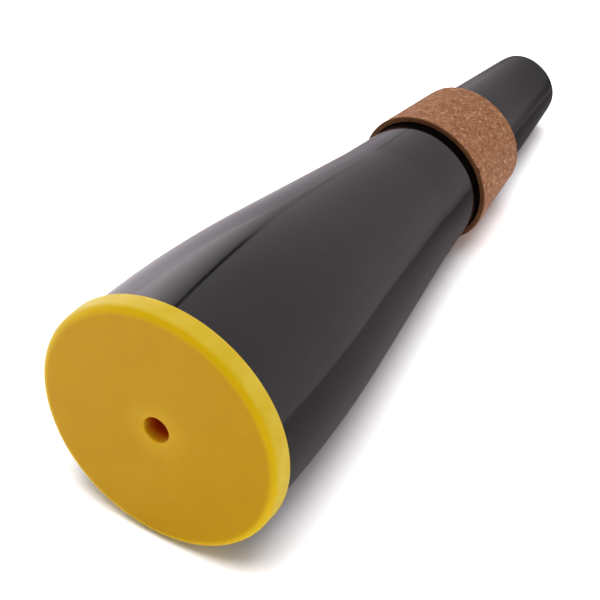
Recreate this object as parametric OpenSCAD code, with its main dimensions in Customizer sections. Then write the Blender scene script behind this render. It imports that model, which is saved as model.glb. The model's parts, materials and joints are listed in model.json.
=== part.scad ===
// Practice mute for a cornet, lying on its side.
//
// A hollow cone of moulded plastic is closed by a push-on cap at its wide end.
// A cork ring near the narrow end wedges the mute in the throat of a bell.
// Each sub-part is drawn about the mute's own axis, which runs along local +Z
// from the middle of the cap's outer face, and lying() then lays it down: it
// rests on the belly of the body and on the rear edge of the cork.

/* [Body] */
// Length from the cap's outer face to the tip of the neck
overall_length = 174.2; // [165:0.1:190]
// Outer radius of the body where it leaves the cap
mouth_r = 31.3; // [30.5:0.1:32]
// Thickness of the moulded wall
wall = 2; // [1.5:0.1:2.5]
// Length of the rounded belly behind the cap
belly_length = 54; // [45:1:60]
// Angle between the wall and the axis where the belly starts
belly_angle = 1.3; // [0.5:0.1:2]
// Angle between the wall and the axis along the cone
cone_angle = 9.85; // [9:0.05:10.5]
// Distance from the cap's outer face to the end of the cone
cone_end = 102; // [95:1:110]
// Angle between the wall and the axis along the neck
neck_angle = 7.65; // [7:0.05:8]
// Radius that rounds the lip of the neck
lip_r = 0.9; // [0.5:0.1:0.9]

/* [End cap] */
// Outer radius of the cap
cap_r = 33; // [32.5:0.1:34]
// Depth of the cap along the axis
cap_depth = 6; // [5:0.1:8]
// Thickness of the cap's face
cap_face = 2.2; // [1.6:0.1:3]
// Radius that rounds the front edge of the cap
cap_edge_r = 2; // [1:0.1:2.4]
// Thickness of the locating ring that sits inside the body
locating_ring = 1.6; // [1:0.1:2.5]
// Length of the locating ring past the cap's skirt
locating_reach = 1.5; // [1:0.1:4]

/* [Air vent] */
// Radius of the vent hole in the cap
vent_r = 3.5; // [3.1:0.1:3.8]
// Length of the vent hole, from the cap's outer face to the vent tube
vent_length = 7; // [5:0.1:9]
// Outer radius of the boss behind the vent hole
boss_r = 6.5; // [5.5:0.1:8]
// Distance from the cap's outer face to the end of the boss
boss_end = 13; // [11:0.5:16]
// Outer radius of the vent tube
tube_r = 4.5; // [4.2:0.1:5]
// Bore radius of the vent tube
tube_bore_r = 3; // [2.5:0.1:3]
// Distance from the cap's outer face to the inner end of the vent tube
tube_end = 78; // [50:1:90]

/* [Cork ring] */
// Distance from the cap's outer face to the front edge of the cork
cork_start = 120.2; // [118:0.1:124]
// Width of the cork strip along the axis
cork_width = 22.5; // [20:0.5:26]
// Thickness of the cork strip at its front edge
cork_front = 1.8; // [1.6:0.1:2.4]
// Thickness of the cork strip at its rear edge
cork_rear = 2.05; // [1.6:0.05:2.4]

/* [Hidden] */
$fn = 96;

// Spacing of the points along the belly's curve
belly_step = 3;
// Rounding of the cap's rear edge
fine_edge = 0.4;

// The belly's outline is a parabola: its slope grows evenly from the cap to the cone.
belly_slope = tan(belly_angle);
cone_slope = tan(cone_angle);
neck_slope = tan(neck_angle);
belly_growth = (cone_slope - belly_slope) / (2 * belly_length);
belly_end = cap_depth + belly_length;

// Outer radius of the body at a distance s from the cap's outer face
function belly_r(u) = mouth_r - belly_slope * u - belly_growth * u * u;
function cone_r(s) = belly_r(belly_length) - cone_slope * (s - belly_end);
function neck_r(s) = cone_r(cone_end) - neck_slope * (s - cone_end);
tip_r = neck_r(overall_length);

cork_end = cork_start + cork_width;
cork_end_r = neck_r(cork_end) + cork_rear;

// The floor touches the cork's rear edge and is tangent to the belly. The
// tangent point comes from the parabola's equation, and the line through both
// points leans towards the axis by the angle at which the mute lies.
cork_reach = cork_end - cap_depth;
drop = (mouth_r - cork_end_r - belly_slope * cork_reach) / belly_growth;
touch_u = cork_reach - sqrt(cork_reach * cork_reach - drop);
lean = atan((belly_r(touch_u) - cork_end_r) / (cork_reach - touch_u));

// The origin is under the middle of the bounding box, on the floor.
front_y = cap_edge_r * cos(lean) - (cap_r - cap_edge_r) * sin(lean) - cap_edge_r;
back_y = (overall_length - lip_r) * cos(lean) + (tip_r - lip_r) * sin(lean) + lip_r;
face_y = -(front_y + back_y) / 2;
face_z = cork_end * sin(lean) + cork_end_r * cos(lean);

// Lays a shape that is drawn about local +Z down on the floor
module lying() {
    translate([0, face_y, face_z]) rotate([-90 - lean, 0, 0]) children();
}

// Points [radius, distance] down the outside of the body, moved in by inset
function outline(inset) = [
    [mouth_r - inset, cap_face],
    for (u = [0:belly_step:belly_length]) [belly_r(u) - inset, cap_depth + u],
    [cone_r(cone_end) - inset, cone_end],
    [tip_r - inset, overall_length]
];

function reversed(points) = [for (i = [len(points) - 1:-1:0]) points[i]];

// A square-cornered ring section from radius r0 to r1 and from distance s0 to s1
module section(r0, r1, s0, s1) {
    translate([r0, s0]) square([r1 - r0, s1 - s0]);
}

// Moulded body: belly, cone and neck in one piece, open at both ends
module body_shell() {
    color([0.09, 0.09, 0.10])
        lying()
            rotate_extrude()
                difference() {
                    polygon(concat(outline(0), reversed(outline(wall))));
                    lip_corner(tip_r - lip_r, 1);
                    lip_corner(tip_r - wall + lip_r, -1);
                }
}

// The waste between a square corner of the lip and its rounding
module lip_corner(centre_r, side) {
    lip_s = overall_length - lip_r;
    difference() {
        translate([side > 0 ? centre_r : centre_r - 2 * lip_r, lip_s]) square(2 * lip_r);
        translate([centre_r, lip_s]) circle(lip_r);
    }
}

// Cap: a face with a rounded front edge, a skirt outside the body, a locating
// ring inside it and a boss that the vent tube is glued into
module end_cap() {
    color([0.93, 0.71, 0.08])
        lying()
            rotate_extrude()
                difference() {
                    union() {
                        section(0, cap_r - cap_edge_r, 0, cap_face);
                        section(cap_r - 2 * cap_edge_r, cap_r, cap_edge_r, cap_depth - fine_edge);
                        section(cap_r - 2 * cap_edge_r, cap_r - fine_edge, cap_edge_r, cap_depth);
                        translate([cap_r - cap_edge_r, cap_edge_r]) circle(cap_edge_r);
                        translate([cap_r - fine_edge, cap_depth - fine_edge]) circle(fine_edge);
                        section(mouth_r - wall - locating_ring, mouth_r - wall,
                                0.5 * cap_face, cap_depth + locating_reach);
                        section(0, boss_r, 0.5 * cap_face, boss_end);
                    }
                    section(mouth_r - wall, mouth_r, cap_face, cap_depth + 1);
                    section(-1, vent_r, -1, boss_end + 1);
                    section(-1, tube_r, vent_length, boss_end + 1);
                }
}

// Tube that carries the air from the chamber to the vent hole
module vent_tube() {
    color([0.12, 0.12, 0.13])
        lying()
            rotate_extrude()
                section(tube_bore_r, tube_r, vent_length, tube_end);
}

// Cork strip wrapped round the neck and glued, with its ends butted together
module cork_ring() {
    color([0.60, 0.42, 0.31])
        lying()
            rotate_extrude()
                polygon([
                    [neck_r(cork_start), cork_start],
                    [neck_r(cork_start) + cork_front, cork_start],
                    [cork_end_r, cork_end],
                    [neck_r(cork_end), cork_end]
                ]);
}

body_shell();
end_cap();
vent_tube();
cork_ring();
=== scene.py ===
# %% [markdown]
# # A practice mute for a cornet
#
# The mute is a hollow black plastic cone. A yellow plastic cap is pushed on its
# wide end, and a cork ring is glued round its neck. It lies on its side on a pale
# table. A imported CAD model already fixes every size and place. This notebook
# builds the finished surfaces round that model, one real piece at a time.
#
# First the CAD model is loaded, and its nodes and record are kept for later.

import json
import math

import bmesh
import bpy
from mathutils import Matrix, Vector


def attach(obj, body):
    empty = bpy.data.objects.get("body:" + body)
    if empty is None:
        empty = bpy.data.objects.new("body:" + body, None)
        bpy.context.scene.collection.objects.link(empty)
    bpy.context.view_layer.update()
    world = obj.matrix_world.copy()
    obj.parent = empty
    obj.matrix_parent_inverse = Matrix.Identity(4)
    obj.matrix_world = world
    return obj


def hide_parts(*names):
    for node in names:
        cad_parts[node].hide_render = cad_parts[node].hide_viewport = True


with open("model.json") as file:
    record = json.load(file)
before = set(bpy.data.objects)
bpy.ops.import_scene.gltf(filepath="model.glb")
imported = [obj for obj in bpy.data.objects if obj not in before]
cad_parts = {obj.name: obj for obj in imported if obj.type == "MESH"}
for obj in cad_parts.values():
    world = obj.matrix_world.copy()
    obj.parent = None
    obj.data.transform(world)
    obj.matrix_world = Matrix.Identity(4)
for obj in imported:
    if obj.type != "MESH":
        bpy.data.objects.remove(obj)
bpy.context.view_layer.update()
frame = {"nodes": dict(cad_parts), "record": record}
MM = 0.001
print("CAD nodes:", sorted(frame["nodes"]))

# %% [markdown]
# Every piece of the mute is round about one axis. The record states a vent hole
# on that axis, so its place and direction give the axis for all the pieces. Each
# piece is turned as on a lathe, about a vertical axis with the outer face of the
# cap at the origin, and then one matrix lays it down where the CAD model lies.

# %% Find the mute's axis
vent_mount = next(m for m in frame["record"]["mounts"] if m["name"] == "vent_hole")
vent_depth = vent_mount["dims"]["length_mm"] * MM
axis_out = Vector(vent_mount["axis"]).normalized()
face_centre = Vector(vent_mount["pos_m"]) + axis_out * (vent_depth / 2)
lean = math.asin(axis_out.z)
lay_angle = -math.pi / 2 - lean
LAID = Matrix.Translation(face_centre) @ Matrix.Rotation(lay_angle, 4, "X")
STOOD = LAID.inverted()
print(f"axis leans {math.degrees(lean):.2f} degrees, face centre {face_centre[:]}")


# %% [markdown]
# The CAD nodes give the main sizes too. Measured about the axis, each node has a
# first and a last distance from the cap's outer face, and a largest radius.

# %% Measure the CAD nodes along the axis
def measure(node):
    """First and last distance from the cap's face, and largest radius."""
    places = [STOOD @ v.co for v in frame["nodes"][node].data.vertices]
    heights = [p.z for p in places]
    return min(heights), max(heights), max(math.hypot(p.x, p.y) for p in places)


cork_start, cork_end, _ = measure("cork_ring")
_, _, cap_r = measure("end_cap")
_, tip, mouth_r = measure("body_shell")
_, _, tube_r = measure("vent_tube")
print(f"cap {2 * cap_r / MM:.1f} mm across, mute {tip / MM:.1f} mm long")
print(f"cork from {cork_start / MM:.1f} to {cork_end / MM:.1f} mm")

# %% [markdown]
# ## Turning a piece
#
# A lathe cuts one outline all the way round. A Screw modifier would do the same to
# a drawn outline. The spin tool is used here, because it leaves a plain mesh that
# is put in order straight away. A plane is merged to a single vertex, the vertex is
# extruded from point to point along the outline, and the chain of edges is spun
# round the axis. Then doubled vertices are merged, the two ends of a piece that
# stops short of a full turn are filled, and all faces are made to point outwards.

# %% A helper that turns an outline
weld = 0.001 * MM


def deselect_all():
    for o in bpy.context.selected_objects:
        o.select_set(False)


def turn(name, outline, steps, sweep=2 * math.pi):
    """A closed outline of (radius, distance) points, spun round the axis."""
    deselect_all()
    start = Vector((outline[0][0], 0, outline[0][1]))
    bpy.ops.mesh.primitive_plane_add(size=MM, location=start)
    piece = bpy.context.object
    piece.name = name
    bpy.ops.object.transform_apply(location=True, rotation=True, scale=True)
    bpy.ops.object.mode_set(mode="EDIT")
    bpy.ops.mesh.select_mode(type="VERT")
    bpy.ops.mesh.select_all(action="SELECT")
    bpy.ops.mesh.merge(type="CENTER")
    for (r0, s0), (r1, s1) in zip(outline, outline[1:]):
        move = {"value": (r1 - r0, 0, s1 - s0)}
        bpy.ops.mesh.extrude_vertices_move(TRANSFORM_OT_translate=move)
    bpy.ops.mesh.select_all(action="SELECT")
    bpy.ops.mesh.remove_doubles(threshold=weld)
    bpy.ops.mesh.spin(steps=steps, angle=sweep, center=(0, 0, 0), axis=(0, 0, 1))
    bpy.ops.mesh.select_all(action="SELECT")
    bpy.ops.mesh.remove_doubles(threshold=weld)
    bpy.ops.mesh.fill_holes(sides=0)
    bpy.ops.mesh.select_all(action="SELECT")
    bpy.ops.mesh.normals_make_consistent(inside=False)
    bpy.ops.object.mode_set(mode="OBJECT")
    return piece


print(f"vertices within {weld / MM:.3f} mm of each other are merged")


# %% [markdown]
# Corners on moulded plastic are always a little round. One Bevel modifier would
# round them all alike. An arc of points in the outline gives each corner its
# own radius, and keeps the faces in even rings.

# %% A helper for rounded corners
def arc(centre_r, centre_s, radius, start, end, count=6):
    """Points on an arc in the outline's plane. Angles in degrees, 0 points outwards."""
    points = []
    for i in range(count + 1):
        a = math.radians(start + (end - start) * i / count)
        point = (centre_r + radius * math.cos(a), centre_s + radius * math.sin(a))
        points.append(point)
    return points


print("a corner is rounded with", len(arc(0, 0, MM, 0, 90)), "points")


# %% [markdown]
# A turned piece still stands at the origin. It is laid down by its matrix, which
# is then applied, so that its place is kept in its mesh, as in a CAD node. Smooth
# shading by angle leaves true corners sharp. A surface with open edges is easy to
# miss by eye, so each finished piece prints how many it has.

# %% Helpers that lay a piece down, smooth it and report on it
def pick(piece):
    """Selects this piece alone and makes it active."""
    deselect_all()
    piece.select_set(True)
    bpy.context.view_layer.objects.active = piece


def lay_down(piece, turned=0):
    """Puts a turned piece in its place, with the place kept in its mesh."""
    pick(piece)
    piece.matrix_world = LAID @ Matrix.Rotation(turned, 4, "Z")
    bpy.ops.object.transform_apply(location=True, rotation=True, scale=True)


def smooth(piece, degrees=30):
    pick(piece)
    bpy.ops.object.shade_smooth_by_angle(angle=math.radians(degrees))


def report(piece):
    """Prints the size of a piece, and whether its surface is closed."""
    mesh = bmesh.new()
    mesh.from_mesh(piece.data)
    open_edges = sum(1 for e in mesh.edges if not e.is_manifold)
    volume = mesh.calc_volume(signed=True) / MM**3
    print(f"{piece.name}: {len(mesh.faces)} faces, {open_edges} open edges, {volume:.0f} mm3")
    mesh.free()


print("shaping helpers ready")

# %% [markdown]
# ## The body
#
# The body is one moulding with a 2 mm wall. Its outline leaves the cap almost
# straight, curves in along the belly, and then runs straight down the cone and
# the slightly steeper neck. A few cones joined together would have the right size,
# but polished black plastic shows every kink in its reflections. So the outline is
# followed with a point every 1.5 mm. The slope grows evenly along the belly, which
# makes its outline a parabola.

# %% The outline of the body
wall = 2.0 * MM
cap_depth = 6.0 * MM
cap_face = 2.2 * MM
belly_length = 54.0 * MM
cone_end = 102.0 * MM
belly_slope = math.tan(math.radians(1.3))
cone_slope = math.tan(math.radians(9.85))
neck_slope = math.tan(math.radians(7.65))
belly_growth = (cone_slope - belly_slope) / (2 * belly_length)
belly_end = cap_depth + belly_length


def body_r(s):
    """Outer radius of the body at a distance s from the cap's outer face."""
    u = min(max(s - cap_depth, 0), belly_length)
    radius = mouth_r - belly_slope * u - belly_growth * u * u
    radius -= cone_slope * max(min(s, cone_end) - belly_end, 0)
    return radius - neck_slope * max(s - cone_end, 0)


body_step = 1.5 * MM
lip_r = 0.9 * MM
rings = int((tip - lip_r - cap_depth) / body_step)
distances = [cap_depth + (tip - lip_r - cap_depth) * i / rings for i in range(rings)]
print(f"tip radius {body_r(tip) / MM:.2f} mm, {rings} rings along the body")

# %% [markdown]
# The outline runs down the outside, round the lip, back up the inside and round
# the mouth, so the wall is a closed solid and a look down the neck shows its real
# thickness. The mouth stops just short of the bottom of the groove that it sits
# in. 256 steps round the axis keep the edge of the cap end free of corners.

# %% Turn the body
round_steps = 256
groove_play = 0.2 * MM
lip_s = tip - lip_r
lip_first = 5  # degrees, just under the slope of the neck's wall
outer = [(body_r(s), s) for s in [cap_face + groove_play] + distances]
lip = arc(body_r(tip) - lip_r, lip_s, lip_r, lip_first, 90)
lip += arc(body_r(tip) - wall + lip_r, lip_s, lip_r, 90, 180)
inner = [(r - wall, s) for r, s in reversed(outer)]
body = turn("black_body", outer + lip + inner + outer[:1], round_steps)
smooth(body)
lay_down(body)
report(body)

# %% [markdown]
# ## The cap
#
# The cap is a yellow moulding: a flat face with a hole in the middle, a full
# rounded front edge, a skirt with a groove that the body sits in, a ring inside
# the body and a boss that holds the vent tube. A cylinder with the hole cut out of
# it would miss all but the outside, so the whole section is turned. The edge of
# the hole is just broken, so that it catches the light, and the back edge of the
# skirt has a small radius.

# %% The outline of the cap
edge_r = 2.0 * MM
back_edge_r = 0.4 * MM
hole_edge_r = 0.35 * MM
vent_r = vent_mount["dims"]["r_mm"] * MM
boss_r = 6.5 * MM
boss_end = 13.0 * MM
ring_end = cap_depth + 1.5 * MM
ring_r = mouth_r - wall - 1.6 * MM
groove_in = mouth_r - wall
groove_out = mouth_r + 0.02 * MM
face_rings = [r * MM for r in (5, 8, 12, 16, 20, 24, 28)]
cap_outline = arc(vent_r + hole_edge_r, hole_edge_r, hole_edge_r, 180, 270, count=4)
cap_outline += [(r, 0) for r in face_rings]
cap_outline += arc(cap_r - edge_r, edge_r, edge_r, -90, 0, count=10)
cap_outline += arc(cap_r - back_edge_r, cap_depth - back_edge_r, back_edge_r, 0, 90, count=4)
cap_outline += [(groove_out, cap_depth), (groove_out, cap_face)]
cap_outline += [(groove_in, cap_face), (groove_in, ring_end), (ring_r, ring_end)]
cap_outline += [(ring_r, cap_face), (boss_r, cap_face), (boss_r, boss_end)]
cap_outline += [(tube_r, boss_end), (tube_r, vent_depth), (vent_r, vent_depth)]
cap_outline.append(cap_outline[0])
print(f"{len(cap_outline)} points round the cap's section")

# %% Turn the cap
cap = turn("yellow_cap", cap_outline, round_steps)
smooth(cap)
lay_down(cap)
report(cap)

# %% [markdown]
# ## The cork
#
# The ring is a strip of agglomerated cork, 22.5 mm wide and about 2 mm thick,
# wrapped round the neck and sanded to a taper. Its two ends are butted together,
# and the joint shows as a hair line. A line could be drawn in the finish, but a
# real gap also lets the corner of the joint crumble. So the section of the strip
# is turned nearly all the way round, and stops a hair short. The section has a
# point every 0.4 mm, because the grain will be raised on this mesh, and its outer
# corners are sanded round. The glued inner side needs fewer points.

# %% The cork's section
strip_front = 1.8 * MM
strip_rear = 2.05 * MM
grain_step = 0.4 * MM
sanded_r = 0.3 * MM
front_in, front_out = body_r(cork_start), body_r(cork_start) + strip_front
rear_in, rear_out = body_r(cork_end), body_r(cork_end) + strip_rear


def between(first, last, step):
    """Points from first to last, about one step apart, without the last."""
    count = max(1, round(math.dist(first, last) / step))
    shares = [i / count for i in range(count)]
    return [tuple(a + (b - a) * t for a, b in zip(first, last)) for t in shares]


front_corner = arc(front_out - sanded_r, cork_start + sanded_r, sanded_r, -90, 0, count=3)
rear_corner = arc(rear_out - sanded_r, cork_end - sanded_r, sanded_r, 0, 90, count=3)
strip = between((front_in, cork_start), front_corner[0], grain_step) + front_corner[:-1]
strip += between(front_corner[-1], rear_corner[0], grain_step) + rear_corner[:-1]
strip += between(rear_corner[-1], (rear_in, cork_end), grain_step)
strip += between((rear_in, cork_end), (front_in, cork_start), 3 * grain_step)
strip.append(strip[0])
print(f"cork {2 * front_out / MM:.1f} to {2 * rear_out / MM:.1f} mm across, {len(strip)} points")

# %% Turn the cork strip, all but a hair of the way round
joint_gap = 0.05 * MM
joint_angle = math.radians(-32.7)
middle_r = (front_out + rear_out) / 2
cork_steps = round(2 * math.pi * middle_r / grain_step)
cork = turn("cork_strip", strip, cork_steps, 2 * math.pi - joint_gap / middle_r)
report(cork)

# %% [markdown]
# Cork crumbles where it is cut. The front corner of the joint has lost a crumb.
# A boolean cut would leave a clean notch. Pushing the vertices of the corner into
# the strip, with a falloff that takes the ones near them along, leaves a torn one.

# %% Chip the corner of the joint
chip_size = 0.35 * MM
chip_push = (-0.35 * MM, 0, 0.6 * MM)
chip_reach = 1.1 * MM
chip_place = Vector((front_out, 0, cork_start))
bpy.ops.object.mode_set(mode="EDIT")
bpy.ops.mesh.select_all(action="DESELECT")
edit = bmesh.from_edit_mesh(cork.data)
for v in edit.verts:
    v.select_set((v.co - chip_place).length < chip_size)
edit.select_flush_mode()
print("chipped vertices:", sum(v.select for v in edit.verts))
bmesh.update_edit_mesh(cork.data)
bpy.ops.transform.translate(
    value=chip_push,
    use_proportional_edit=True,
    proportional_edit_falloff="SHARP",
    proportional_size=chip_reach,
)
bpy.ops.object.mode_set(mode="OBJECT")
smooth(cork, degrees=60)
lay_down(cork, joint_angle)

# %% [markdown]
# The outside of the cork isn't smooth either. Bump in the finish alone would leave
# the outline of the ring as clean as plastic, so a Displace modifier with a small
# cell texture raises the granules by a few hundredths of a millimetre.

# %% Raise the granules
granules = bpy.data.textures.new("cork_granules", type="VORONOI")
granules.noise_scale = 1.1 * MM
granules.distance_metric = "DISTANCE"
relief = cork.modifiers.new("granules", "DISPLACE")
relief.texture = granules
relief.texture_coords = "LOCAL"
relief.mid_level = 0.4
relief.strength = -0.12 * MM
bpy.ops.object.modifier_apply(modifier=relief.name)
report(cork)

# %% [markdown]
# ## The glue, and painted shade in front of the cork
#
# Contact cement is squeezed out along both edges of the cork. At the rear only a
# fine bead shows. At the front a dark film 2.6 mm wide lies on the body and climbs a
# little up the cut face of the cork. The film is mostly painted shade and a painted
# reflection: it darkens the band where the polish mirrors the cork's dark face and
# the gap between body and cork lies in shade. Its ragged edge on the cork is
# squeezed-out glue. Dark paint in the body's finish would give the colour but no
# edge, so both are turned as rings that are sunk a little into the neck, and a soft
# noise makes their edges ragged.

# %% A helper that makes a ragged dark ring, for glue and for painted shade
def dark_glue_and_shade_ring(name, outline, raggedness):
    ring = turn(name, outline, steps=360)
    uneven = bpy.data.textures.new(name, type="CLOUDS")
    uneven.noise_scale = 0.9 * MM
    push = ring.modifiers.new("uneven", "DISPLACE")
    push.texture = uneven
    push.texture_coords = "LOCAL"
    push.mid_level = 0.5
    push.strength = raggedness
    bpy.ops.object.modifier_apply(modifier=push.name)
    smooth(ring, degrees=180)
    lay_down(ring)
    report(ring)
    return ring


print("glue helper ready")

# %% The sections of the film and the bead
film_start = cork_start - 2.6 * MM
film_full = film_start + 0.6 * MM
film_end = cork_start - 0.3 * MM
film_height = 0.05 * MM
film_depth = 0.10 * MM
fillet = (front_in + 0.22 * MM, cork_start - 0.16 * MM)
climb_r = front_in + 0.5 * MM
climb_start = cork_start - 0.08 * MM
tuck_end = cork_start + 0.1 * MM
film = [(body_r(film_start) - film_depth, film_start)]
film += [(body_r(s) + film_height, s) for s in (film_start, film_full, film_end)]
film += [fillet, (climb_r, climb_start), (climb_r, tuck_end)]
film += [(front_in - film_depth, tuck_end), film[0]]
bead_r = 0.16 * MM
bead_gap = 0.02 * MM
bead = arc(rear_in, cork_end + bead_gap, bead_r, 0, 360, count=10)
print(f"film {(cork_start - film_start) / MM:.1f} mm wide, bead {2 * bead_r / MM:.2f} mm")

# %% Lay the glue bead and the film of painted shade
# the front film is mostly painted shade and a painted reflection of the cork's dark face
shade_and_glue_film = dark_glue_and_shade_ring("glue_and_shade_front", film, raggedness=0.16 * MM)
rear_bead = dark_glue_and_shade_ring("glue_rear", bead, raggedness=0.3 * MM)

# %% [markdown]
# ## Finishes
#
# Each finish is a small tree of nodes. It could be drawn by hand in the node
# editor. A few helpers that add a node, set its values and link its inputs in one
# call let a tree be read from top to bottom instead.

# %% Helpers that add nodes and start a finish
def set_inputs(tree, node, inputs):
    """Gives each input a value, or links it to the output socket of another node."""
    for name, value in inputs.items():
        if isinstance(value, bpy.types.NodeSocket):
            tree.links.new(value, node.inputs[name])
        else:
            node.inputs[name].default_value = value


def add(tree, kind, inputs=None, **settings):
    node = tree.nodes.new("ShaderNode" + kind)
    for name, value in settings.items():
        setattr(node, name, value)
    set_inputs(tree, node, inputs or {})
    return node


def finish(name):
    """A new material: its tree, its shader and the points of the piece."""
    material = bpy.data.materials.new(name)
    material.use_nodes = True
    tree = material.node_tree
    tree.nodes.clear()
    shader = add(tree, "BsdfPrincipled")
    add(tree, "OutputMaterial", {"Surface": shader.outputs["BSDF"]})
    place = add(tree, "TexCoord").outputs["Object"]
    return material, tree, shader, place


print("node helpers ready")


# %% [markdown]
# The next helpers each add one small step: a sum, a distance, a soft noise, a
# blend of colours. Sizes are given in metres, so that they can be compared with
# the sizes of the pieces.

# %% Helpers that work with numbers and places
def maths(tree, operation, first, second=0.0):
    return add(tree, "Math", {0: first, 1: second}, operation=operation).outputs["Value"]


def split(tree, place):
    """The three parts of a place, as sockets X, Y and Z."""
    return add(tree, "SeparateXYZ", {"Vector": place}).outputs


def length(tree, place):
    return add(tree, "VectorMath", {0: place}, operation="LENGTH").outputs["Value"]


def along(tree, place, direction):
    """How far a place lies along a direction from the origin."""
    inputs = {0: place, 1: direction}
    return add(tree, "VectorMath", inputs, operation="DOT_PRODUCT").outputs["Value"]


def about_axis(tree, place, stretch=(1, 1, 1)):
    """The same places about the mute's own axis, with +Z away from the cap."""
    inputs = {"Vector": place, "Location": face_centre, "Rotation": (lay_angle, 0, 0)}
    turned = add(tree, "Mapping", inputs, vector_type="TEXTURE").outputs["Vector"]
    return add(tree, "Mapping", {"Vector": turned, "Scale": stretch}).outputs["Vector"]


def scale_to(tree, value, old, new):
    """A value carried from one range to another, and kept inside it."""
    limits = {"From Min": old[0], "From Max": old[1], "To Min": new[0], "To Max": new[1]}
    return add(tree, "MapRange", {"Value": value, **limits}).outputs["Result"]


print("number helpers ready")


# %% Helpers that make patterns and colours
def noise(tree, place, size, detail=3):
    """Soft noise whose largest lumps are about this size."""
    values = {"Vector": place, "Scale": 1 / size, "Detail": detail}
    return add(tree, "TexNoise", values).outputs["Fac"]


def cell_tone(tree, cells):
    """A value from 0 to 1 that differs from cell to cell."""
    return add(tree, "SeparateColor", {"Color": cells.outputs["Color"]}).outputs["Red"]


def specks(tree, place, spacing, size, share):
    """1 inside small round specks, in this share of the cells of a grid."""
    cells = add(tree, "TexVoronoi", {"Vector": place, "Scale": 1 / spacing})
    near = scale_to(tree, cells.outputs["Distance"], (0, size / spacing), (1, 0))
    cut_off = (share, share + 0.001)
    chosen = scale_to(tree, cell_tone(tree, cells), cut_off, (1, 0))
    return maths(tree, "MULTIPLY", near, chosen)


def ramp(tree, fac, stops):
    """Colours blended along a value. Each stop is (position, (r, g, b))."""
    node = add(tree, "ValToRGB", {"Fac": fac})
    points = node.color_ramp.elements
    while len(points) < len(stops):
        points.new(0.5)
    for point, (position, colour) in zip(points, stops):
        point.position = position
        point.color = (*colour, 1)
    return node.outputs["Color"]


def mix(tree, fac, first, second):
    inputs = {"Fac": fac, "Color1": first, "Color2": second}
    return add(tree, "MixRGB", inputs).outputs["Color"]


def bump(tree, height, distance, strength):
    inputs = {"Height": height, "Distance": distance, "Strength": strength}
    return add(tree, "Bump", inputs).outputs["Normal"]


print("pattern helpers ready")

# %% [markdown]
# The body is black plastic with a polish like glass. Nearly all that is seen on it
# is what it reflects, so its own colour is very dark. One black with one low
# roughness would be enough for a new mute, but would look too clean. So the polish
# is a little softer in cloudy patches, fine rubbed lines run along it, a hint of
# orange peel bends the reflections, and a few specks of dust lie on it.

# %% Black plastic
black, tree, shader, place = finish("polished_black_plastic")
clouds = noise(tree, place, 14 * MM, detail=5)
blacks = [(0.3, (0.0035, 0.003, 0.0035)), (0.7, (0.006, 0.005, 0.0055))]
dust = specks(tree, place, spacing=5 * MM, size=0.16 * MM, share=0.35)
dusty = mix(tree, dust, ramp(tree, clouds, blacks), (0.30, 0.29, 0.28, 1))
polish = scale_to(tree, clouds, (0.3, 0.7), (0.055, 0.10))
rubbed = noise(tree, about_axis(tree, place, (1, 1, 0.15)), 0.5 * MM, detail=6)
scuffed = scale_to(tree, rubbed, (0.55, 0.8), (0, 0.07))
worn = maths(tree, "ADD", polish, scuffed)
dull = scale_to(tree, dust, (0, 1), (0, 0.5))
peel = noise(tree, place, 3.5 * MM, detail=2)
set_inputs(tree, shader, {
    "Base Color": dusty,
    "Roughness": maths(tree, "MAXIMUM", worn, dull),
    "Normal": bump(tree, peel, 0.02 * MM, 0.25),
    "IOR": 1.5,
})
body.data.materials.append(black)
print(black.name, "has", len(tree.nodes), "nodes")

# %% [markdown]
# The cap is a yellow plastic that lets some light in, as wax does. Light that has
# gone deep comes back redder, so the wall of the hole glows orange. Subsurface
# scattering alone would do a part of this. The distance from the mute's axis
# chooses the yellow: the face is amber, the rounded rim is paler as a painted
# highlight, the outside of the skirt is paler as painted light where it is better
# lit, a halo round the hole is paler, and the wall of the hole is painted orange
# as a painted glow of the light inside it.

# %% The yellows of the cap, and the light painted on it
yellow, tree, shader, place = finish("silky_yellow_plastic")
stood = about_axis(tree, place)
across = add(tree, "VectorMath", {0: stood, 1: (1, 1, 0)}, operation="MULTIPLY")
radius = length(tree, across.outputs["Vector"])
clouds = noise(tree, place, 9 * MM, detail=5)
ambers = [(0.3, (0.475, 0.258, 0.001)), (0.7, (0.50, 0.276, 0.0015))]
# painted highlight: the rounded rim is paler, as where it catches the light
rim_highlight = scale_to(tree, radius, (cap_r - 2.4 * MM, cap_r - 1.0 * MM), (0, 1))
rim_highlit = mix(tree, rim_highlight, ramp(tree, clouds, ambers), (0.60, 0.41, 0.003, 1))
mottle = noise(tree, place, 6 * MM, detail=4)
# painted light: the outside of the skirt is paler, as where it is better lit; its mottle is the
# plastic's own
lit_skirt_yellows = [(0.35, (0.56, 0.405, 0.02)), (0.7, (0.60, 0.455, 0.045))]
skirt = scale_to(tree, radius, (cap_r - 0.5 * MM, cap_r - 0.05 * MM), (0, 1))
skirt_lit = mix(tree, skirt, rim_highlit, ramp(tree, mottle, lit_skirt_yellows))
halo = scale_to(tree, radius, (vent_r + 0.5 * MM, vent_r + 6 * MM), (0.4, 0))
haloed = mix(tree, halo, skirt_lit, (0.60, 0.385, 0.02, 1))
# painted glow: the wall of the hole is painted orange below the face, for light that has gone
# deep
in_bore = scale_to(tree, radius, (vent_r + 0.1 * MM, vent_r + 0.5 * MM), (1, 0))
glow_depth = 4 * MM
depth = scale_to(tree, split(tree, stood)["Z"], (0.2 * MM, glow_depth), (0, 1))
deep = maths(tree, "MULTIPLY", in_bore, depth)
painted_bore_glow = mix(tree, deep, haloed, (0.60, 0.075, 0.002, 1))
print(f"the hole's wall is orange from {glow_depth / MM:.0f} mm deep")

# %% [markdown]
# The surface has a silky sheen with a warm tint, faint waves where the tool left
# the mould, and a few dark specks in it.

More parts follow.
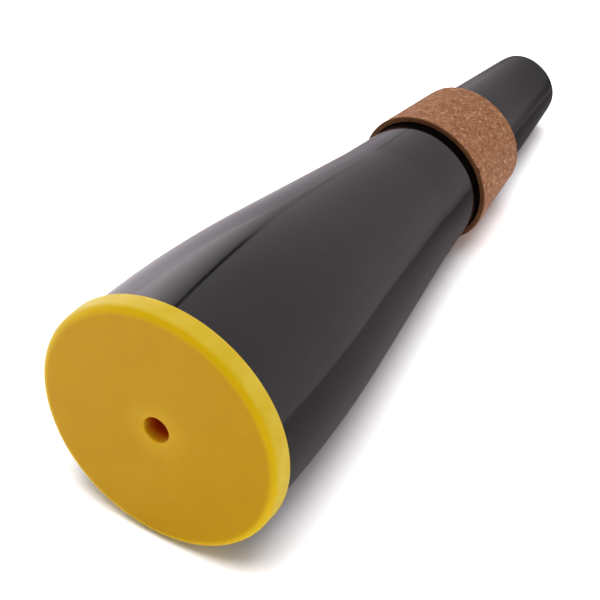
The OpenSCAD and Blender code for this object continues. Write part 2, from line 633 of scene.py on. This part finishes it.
# %% The surface of the cap
flaws = specks(tree, place, spacing=4 * MM, size=0.13 * MM, share=0.12)
flawed = mix(tree, flaws, painted_bore_glow, (0.20, 0.10, 0.01, 1))
silk = noise(tree, place, 2 * MM, detail=4)
waves = noise(tree, about_axis(tree, place, (1, 1, 3)), 5 * MM, detail=2)
set_inputs(tree, shader, {
    "Base Color": flawed,
    "Roughness": scale_to(tree, silk, (0.3, 0.7), (0.36, 0.46)),
    "Normal": bump(tree, waves, 0.06 * MM, 0.3),
    "Subsurface Weight": 0.6,
    "Subsurface Radius": (1.0, 0.45, 0.08),
    "Subsurface Scale": 2.5 * MM,
    "IOR": 1.5,
    "Specular IOR Level": 0.25,
    "Specular Tint": (1.0, 0.72, 0.06, 1),
})
cap.data.materials.append(yellow)
print(yellow.name, "has", len(tree.nodes), "nodes")

# %% [markdown]
# Agglomerated cork is made of granules pressed together with a binder. Noise alone
# would look like stone. A cell texture gives each granule its own brown, and a
# finer one breaks the granules up. The places are wobbled first, so that no cell
# has a straight side. The dark binder shows between the granules, and a few
# granules are much paler or darker than the rest.

# %% The grain of the cork
cork_finish, tree, shader, place = finish("agglomerated_cork")
granule_size = 1.0 * MM
grit_size = 0.4 * MM
wobbles_per_metre = 900
wobble = add(tree, "TexNoise", {"Vector": place, "Scale": wobbles_per_metre, "Detail": 2})
shift = {0: wobble.outputs["Color"], "Scale": 0.5 * MM}
shifted = add(tree, "VectorMath", shift, operation="SCALE").outputs["Vector"]
bent = add(tree, "VectorMath", {0: place, 1: shifted}, operation="ADD").outputs["Vector"]
coarse = add(tree, "TexVoronoi", {"Vector": bent, "Scale": 1 / granule_size})
fine = add(tree, "TexVoronoi", {"Vector": bent, "Scale": 1 / grit_size})
browns = [
    (0.0, (0.155, 0.058, 0.023)),
    (0.35, (0.24, 0.099, 0.042)),
    (0.75, (0.315, 0.145, 0.067)),
    (1.0, (0.47, 0.255, 0.13)),
]
coarse_brown = ramp(tree, cell_tone(tree, coarse), browns)
fine_tone = cell_tone(tree, fine)
granule = mix(tree, 0.7, coarse_brown, ramp(tree, fine_tone, browns))
same_cells = {"Vector": bent, "Scale": 1 / granule_size}
seams = add(tree, "TexVoronoi", same_cells, feature="DISTANCE_TO_EDGE")
binder = scale_to(tree, seams.outputs["Distance"], (0, 0.07), (0.25, 0))
bound = mix(tree, binder, granule, (0.13, 0.05, 0.028, 1))
pale_flecks = specks(tree, bent, spacing=1.3 * MM, size=0.5 * MM, share=0.35)
flecked = mix(tree, pale_flecks, bound, (0.50, 0.31, 0.185, 1))
dark_flecks = specks(tree, bent, spacing=1.9 * MM, size=0.6 * MM, share=0.2)
flecked = mix(tree, dark_flecks, flecked, (0.17, 0.07, 0.03, 1))
print(f"granules of {granule_size / MM:.1f} and {grit_size / MM:.1f} mm")

# %% [markdown]
# The cut front face of the strip is painted darker than its sanded outside, as
# painted shade, and the torn corner of the joint is painted nearly black, as the
# shade in its notch. Each could be a piece with its own finish, but then the grain
# would stop at its edge. So they are found by their distance along the axis and
# from the chip.

# %% The surface of the cork
cork_place = about_axis(tree, place)
cut_edge = (cork_start + 0.15 * MM, cork_start + 0.35 * MM)
cut = scale_to(tree, split(tree, cork_place)["Z"], cut_edge, (1, 0))
# painted shade: the cut front face is darkened, as a face that lies in shade
painted_face_shade = mix(tree, 0.85, bound, (0.11, 0.040, 0.011, 1))
cork_face_shaded = mix(tree, cut, flecked, painted_face_shade)
chip_centre = Matrix.Rotation(joint_angle, 3, "Z") @ chip_place
to_chip = add(tree, "VectorMath", {0: cork_place, 1: chip_centre}, operation="DISTANCE")
# painted shade in the notch that the chip leaves
painted_chip_shade = scale_to(tree, to_chip.outputs["Value"], (0.5 * MM, 1.0 * MM), (0.95, 0))
grit_height = scale_to(tree, fine.outputs["Distance"], (0, 0.8), (1, 0))
set_inputs(tree, shader, {
    "Base Color": mix(tree, painted_chip_shade, cork_face_shaded, (0.02, 0.008, 0.003, 1)),
    "Roughness": scale_to(tree, fine_tone, (0, 1), (0.72, 0.95)),
    "Normal": bump(tree, grit_height, 0.08 * MM, 0.7),
    "Specular IOR Level": 0.2,
})
cork.data.materials.append(cork_finish)
print(cork_finish.name, "has", len(tree.nodes), "nodes")

# %% [markdown]
# The glue and the dark film share one finish, which is dark and dries to a dull,
# lumpy surface; on the film it is painted shade. It could be glossy black, but then
# it would vanish beside the polish of the body.

# %% Glue and painted shade
glue, tree, shader, place = finish("cement_and_painted_shade")
lumps = noise(tree, place, 1.5 * MM)
cements = [(0.35, (0.0004, 0.0003, 0.0003)), (0.65, (0.003, 0.0014, 0.001))]
pits = noise(tree, place, 0.4 * MM)
set_inputs(tree, shader, {
    "Base Color": ramp(tree, lumps, cements),
    "Roughness": scale_to(tree, lumps, (0.3, 0.7), (0.3, 0.6)),
    "Normal": bump(tree, pits, 0.05 * MM, 0.5),
    "Specular IOR Level": 0.01,
})
for ring in (shade_and_glue_film, rear_bead):
    ring.data.materials.append(glue)
print(glue.name, "has", len(tree.nodes), "nodes")

# %% [markdown]
# The vent tube is plain extruded plastic with fine lines along it. It could be
# turned like the rest, but a straight tube gains nothing from that. The shape of
# its CAD node is right, so the node stays and only takes a new material.

# %% Tube
tube_finish, tree, shader, place = finish("extruded_black_plastic")
lines = noise(tree, about_axis(tree, place, (1, 1, 0.05)), 0.4 * MM)
tube_blacks = [(0.3, (0.014, 0.014, 0.015)), (0.7, (0.024, 0.023, 0.023))]
set_inputs(tree, shader, {
    "Base Color": ramp(tree, lines, tube_blacks),
    "Roughness": scale_to(tree, lines, (0.3, 0.7), (0.4, 0.55)),
    "Normal": bump(tree, lines, 0.02 * MM, 0.4),
})
tube = frame["nodes"]["vent_tube"]
tube.data.materials.clear()
tube.data.materials.append(tube_finish)
print("tube faces:", len(tube.data.polygons))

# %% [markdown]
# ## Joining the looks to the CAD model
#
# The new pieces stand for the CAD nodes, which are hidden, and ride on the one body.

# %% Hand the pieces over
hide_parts("body_shell")
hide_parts("end_cap")
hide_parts("cork_ring")
for piece in (body, cap, cork, shade_and_glue_film, rear_bead):
    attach(piece, "root")
print("pieces:", sorted(p.name for p in (body, cap, cork, shade_and_glue_film, rear_bead, tube)))

# %% [markdown]
# ## The table, the light and the camera
#
# The mute lies on a white table with a matt finish. A small table would show its
# edges in other views, so it is made 8 m wide. It is hidden from reflections, for a
# reason that the next step gives.

# %% The table
table_size = 8
deselect_all()
bpy.ops.mesh.primitive_grid_add(x_subdivisions=40, y_subdivisions=40, size=table_size)
table = bpy.context.object
table.name = "table"
table_finish, tree, shader, place = finish("matt_white_table")
whites = [(0.3, (0.90, 0.90, 0.90)), (0.7, (0.92, 0.92, 0.92))]
set_inputs(tree, shader, {
    "Base Color": ramp(tree, noise(tree, place, 40 * MM), whites),
    "Roughness": 0.9,
    "Specular IOR Level": 0.1,
})
table.data.materials.append(table_finish)
table.visible_glossy = False
print(f"table {table_size} m wide")


# %% [markdown]
# The lamps make the table brighter than white, and a polish that mirrored it would
# be almost white too. The reflections on the real mute are dark greys. A darker
# table would give those, but then the table itself would look grey. So the table
# is hidden from reflections, and a second sheet just above it stands in for it
# there. Only reflections see that sheet.

# %% The sheet that only reflections see
def only_in_polish(piece):
    """Hides a piece from everything but reflections."""
    piece.visible_camera = False
    piece.visible_diffuse = False
    piece.visible_transmission = False
    piece.visible_shadow = False


sheet_rise = 0.2 * MM
bpy.ops.mesh.primitive_grid_add(
    x_subdivisions=40, y_subdivisions=40, size=table_size, location=(0, 0, sheet_rise)
)
sheet = bpy.context.object
sheet.name = "sheet_in_polish"
only_in_polish(sheet)
print(f"sheet {sheet_rise / MM:.1f} mm above the table")

# %% [markdown]
# Two painted shadows are laid on the grey of the sheet. On the right of the mute,
# where the table lies in its shadow, it is darker as far as a straight line, which
# shows as a line along the body, and a painted contact shadow darkens it again
# close to the neck.

# %% The greys of the sheet, with painted shadows
sheet_finish, tree, shader, place = finish("grey_sheet")
papers = [(0.3, (0.53, 0.495, 0.52)), (0.7, (0.55, 0.515, 0.54))]
paper = ramp(tree, noise(tree, place, 40 * MM), papers)
sides = split(tree, place)
shade_heading = (0.623, 0.782, 0)
shade_line = (97 * MM, 103 * MM)
# painted shadow of the mute on the table to its right
this_side = scale_to(tree, along(tree, place, shade_heading), shade_line, (1, 0))
on_right = scale_to(tree, sides["X"], (-8 * MM, 0), (0, 1))
shaded = maths(tree, "MULTIPLY", this_side, on_right)
two_greys = mix(tree, shaded, paper, (0.27, 0.255, 0.255, 1))
off_middle = maths(tree, "ABSOLUTE", sides["X"])
# painted contact shadow close to the neck
towards_tip = scale_to(tree, sides["Y"], (40 * MM, 75 * MM), (0, 0.42))
close = scale_to(tree, off_middle, (50 * MM, 90 * MM), (1, 0))
painted_neck_shadow = maths(tree, "MULTIPLY", towards_tip, close)
greys = mix(tree, painted_neck_shadow, two_greys, (0, 0, 0, 1))
set_inputs(tree, shader, {
    "Base Color": greys,
    "Emission Color": greys,
    "Roughness": 0.9,
    "Specular IOR Level": 0.1,
})
sheet.data.materials.append(sheet_finish)
print(f"the shade on the right ends {shade_line[0] / MM:.0f} mm from the origin")

# %% [markdown]
# The grey alone would be too dim where the real table is lit, so the sheet also
# glows, as painted light: strongly on the left, faintly beside the mute, where the
# glow is held down as painted shade, and more with distance. A thin dark line is
# painted in that glow, and shows as a fine line on the left of the body.

# %% The glow of the sheet
glare_heading = (-0.819, -0.574, 0)
glare = scale_to(tree, along(tree, place, glare_heading), (40 * MM, 140 * MM), (0, 1.35))
beside = scale_to(tree, off_middle, (15 * MM, 60 * MM), (0.03, 0.28))
afar = scale_to(tree, length(tree, place), (0.25, 2.0), (0, 0.6))
sheet_glow = maths(tree, "ADD", maths(tree, "ADD", glare, beside), afar)
# a thin dark line painted into the glow
dark_line_heading = (-0.93, -0.37, 0)
dark_line_distance = 65 * MM
past_dark_line = maths(tree, "SUBTRACT", along(tree, place, dark_line_heading), dark_line_distance)
off_dark_line = maths(tree, "ABSOLUTE", past_dark_line)
dark_line_mask = scale_to(tree, off_dark_line, (1.5 * MM, 4 * MM), (0.35, 1))
glow_with_dark_line = maths(tree, "MULTIPLY", sheet_glow, dark_line_mask)
set_inputs(tree, shader, {"Emission Strength": glow_with_dark_line})
print(sheet_finish.name, "has", len(tree.nodes), "nodes")

# %% [markdown]
# The light is that of a table in a studio. One colour all round would leave the
# polish flat, and a picture of a room would fill it with things. So the room is a
# plain pale one that gets brighter from the front of the mute to the back.

# %% The room
world = bpy.data.worlds.new("pale_room")
bpy.context.scene.world = world
world.use_nodes = True
tree = world.node_tree
tree.nodes.clear()
look = split(tree, add(tree, "TexCoord").outputs["Generated"])
room_glow = scale_to(tree, look["Y"], (-0.5, 0.5), (0.35, 0.8))
background = add(tree, "Background", {"Color": (1, 0.93, 0.99, 1), "Strength": room_glow})
add(tree, "OutputWorld", {"Surface": background.outputs["Background"]})
print("world:", world.name)

# %% [markdown]
# A large square lamp hangs overhead. It points straight down, as an area lamp does
# until it is turned. A small one could light as much, but its shadows would be hard.

# %% The lamp overhead
lamp_size = 1.5
lamp_height = 1.6
lamp_radiance = 2.4
lamp_data = bpy.data.lights.new("overhead", "AREA")
lamp_data.shape = "SQUARE"
lamp_data.size = lamp_size
lamp_data.energy = lamp_radiance * lamp_size * lamp_size * math.pi
lamp = bpy.data.objects.new("overhead", lamp_data)
bpy.context.scene.collection.objects.link(lamp)
lamp.location = (0, 0, lamp_height)
lamp.visible_camera = False
print(f"overhead lamp of {lamp_data.energy:.1f} W")

# %% [markdown]
# On the left stands a wide panel of cloth that is lit from behind. An area lamp is
# equally bright all over. This panel fades towards its back edge, and a dark hem
# along that edge shows in the polish as the straight dark line on the body. So it
# is a mesh with a finish that glows.

# %% The panel on the left
panel_width = 2.2
panel_height = 1.2
panel_distance = 1.5
panel_rise = 0.6
edge_angle = math.radians(-33)
to_edge = Vector((math.sin(edge_angle), math.cos(edge_angle), 0))
edge_to_middle = Vector((-math.cos(edge_angle), math.sin(edge_angle), 0)) * (panel_width / 2)
bpy.ops.mesh.primitive_grid_add(x_subdivisions=22, y_subdivisions=12, size=1)
panel = bpy.context.object
panel.name = "left_panel"
panel.scale = (panel_width, panel_height, 1)
bpy.ops.object.transform_apply(location=False, rotation=False, scale=True)
panel.location = to_edge * panel_distance + edge_to_middle + Vector((0, 0, panel_rise))
panel.rotation_euler = (-to_edge).to_track_quat("-Z", "Y").to_euler()
panel.visible_camera = False
print("panel at", [round(x, 3) for x in panel.location])

# %% The glowing cloth
panel_finish, tree, shader, place = finish("lit_cloth")
sides = split(tree, place)
edge_x = -panel_width / 2
hem_end = edge_x + 0.05
hem_blur = 0.005
hem = scale_to(tree, sides["X"], (hem_end - hem_blur, hem_end + hem_blur), (1, 0))
above_foot = scale_to(tree, sides["Y"], (-0.35, -0.15), (0, 1))
dark_hem = maths(tree, "MULTIPLY", hem, above_foot)
cloths = [(0.3, (0.97, 0.91, 0.96)), (0.7, (1.0, 0.94, 0.99))]
cloth = ramp(tree, noise(tree, place, 50 * MM), cloths)
set_inputs(tree, shader, {
    "Base Color": (0.02, 0.02, 0.02, 1),
    "Emission Color": mix(tree, dark_hem, cloth, (0.02, 0.02, 0.02, 1)),
    "Emission Strength": scale_to(tree, sides["X"], (hem_end, edge_x + 0.4), (0.62, 2.1)),
    "Specular IOR Level": 0,
})
panel.data.materials.append(panel_finish)
print(panel_finish.name, "has", len(tree.nodes), "nodes")

# %% [markdown]
# Behind the tip of the neck the polish is dark again. A darker room would darken
# the whole body, so a black card stands there, which only reflections see. It is
# darkest at the middle of its foot and fades out from there, so that the polish
# doesn't show its edges.

# %% The card behind the tip
card_size = 80 * MM
card_place = (0, 118 * MM, card_size / 2)
bpy.ops.mesh.primitive_grid_add(x_subdivisions=8, y_subdivisions=8, size=card_size)
card = bpy.context.object
card.name = "card_behind_tip"
card.location = card_place
card.rotation_euler = (math.pi / 2, 0, 0)
only_in_polish(card)
card_finish, tree, shader, place = finish("black_card")
card_blacks = [(0.3, (0.01, 0.01, 0.01)), (0.7, (0.02, 0.02, 0.02))]
foot_to_middle = (0, card_size / 2, 0)
raised = add(tree, "VectorMath", {0: place, 1: foot_to_middle}, operation="ADD")
from_foot = length(tree, raised.outputs["Vector"])
set_inputs(tree, shader, {
    "Base Color": ramp(tree, noise(tree, place, 10 * MM), card_blacks),
    "Alpha": scale_to(tree, from_foot, (12 * MM, 44 * MM), (0.85, 0)),
    "Specular IOR Level": 0,
})
card.data.materials.append(card_finish)
print("card", card_size / MM, "mm wide")

# %% [markdown]
# The table is to come out pure white without more light on the mute. Brighter
# lamps would light both. A sun that is linked to the table alone lights nothing
# else, and it is so wide that the shadow under the mute stays soft.

# %% The sun on the table
sunlit = bpy.data.collections.new("lit_by_the_sun")
sunlit.objects.link(table)
sun_data = bpy.data.lights.new("table_sun", "SUN")
sun_data.energy = 3.2
sun_data.angle = math.radians(42)
sun = bpy.data.objects.new("table_sun", sun_data)
bpy.context.scene.collection.objects.link(sun)
sun.light_linking.receiver_collection = sunlit

# %% [markdown]
# The camera stands in front of the cap, to its right and well above it. A short
# lens close by would fill the picture as well, but it would make the neck look
# much too thin. A long lens keeps it nearer to its true size.

# %% The camera
camera_data = bpy.data.cameras.new("camera")
camera_data.sensor_width = 36
camera_data.lens = 161.4
camera = bpy.data.objects.new("camera", camera_data)
bpy.context.scene.collection.objects.link(camera)
bpy.context.scene.camera = camera
aim_point = Vector((0, -24.33 * MM, 24.19 * MM))
camera_side = math.radians(33.125)
camera_rise = math.radians(46.333)
camera_distance = 658.93 * MM
back = Vector((
    math.sin(camera_side) * math.cos(camera_rise),
    -math.cos(camera_side) * math.cos(camera_rise),
    math.sin(camera_rise),
))
camera.location = aim_point + back * camera_distance
camera.rotation_euler = (-back).to_track_quat("-Z", "Y").to_euler()
bpy.context.scene.view_settings.view_transform = "Standard"
print("camera at", [round(x, 4) for x in camera.location])
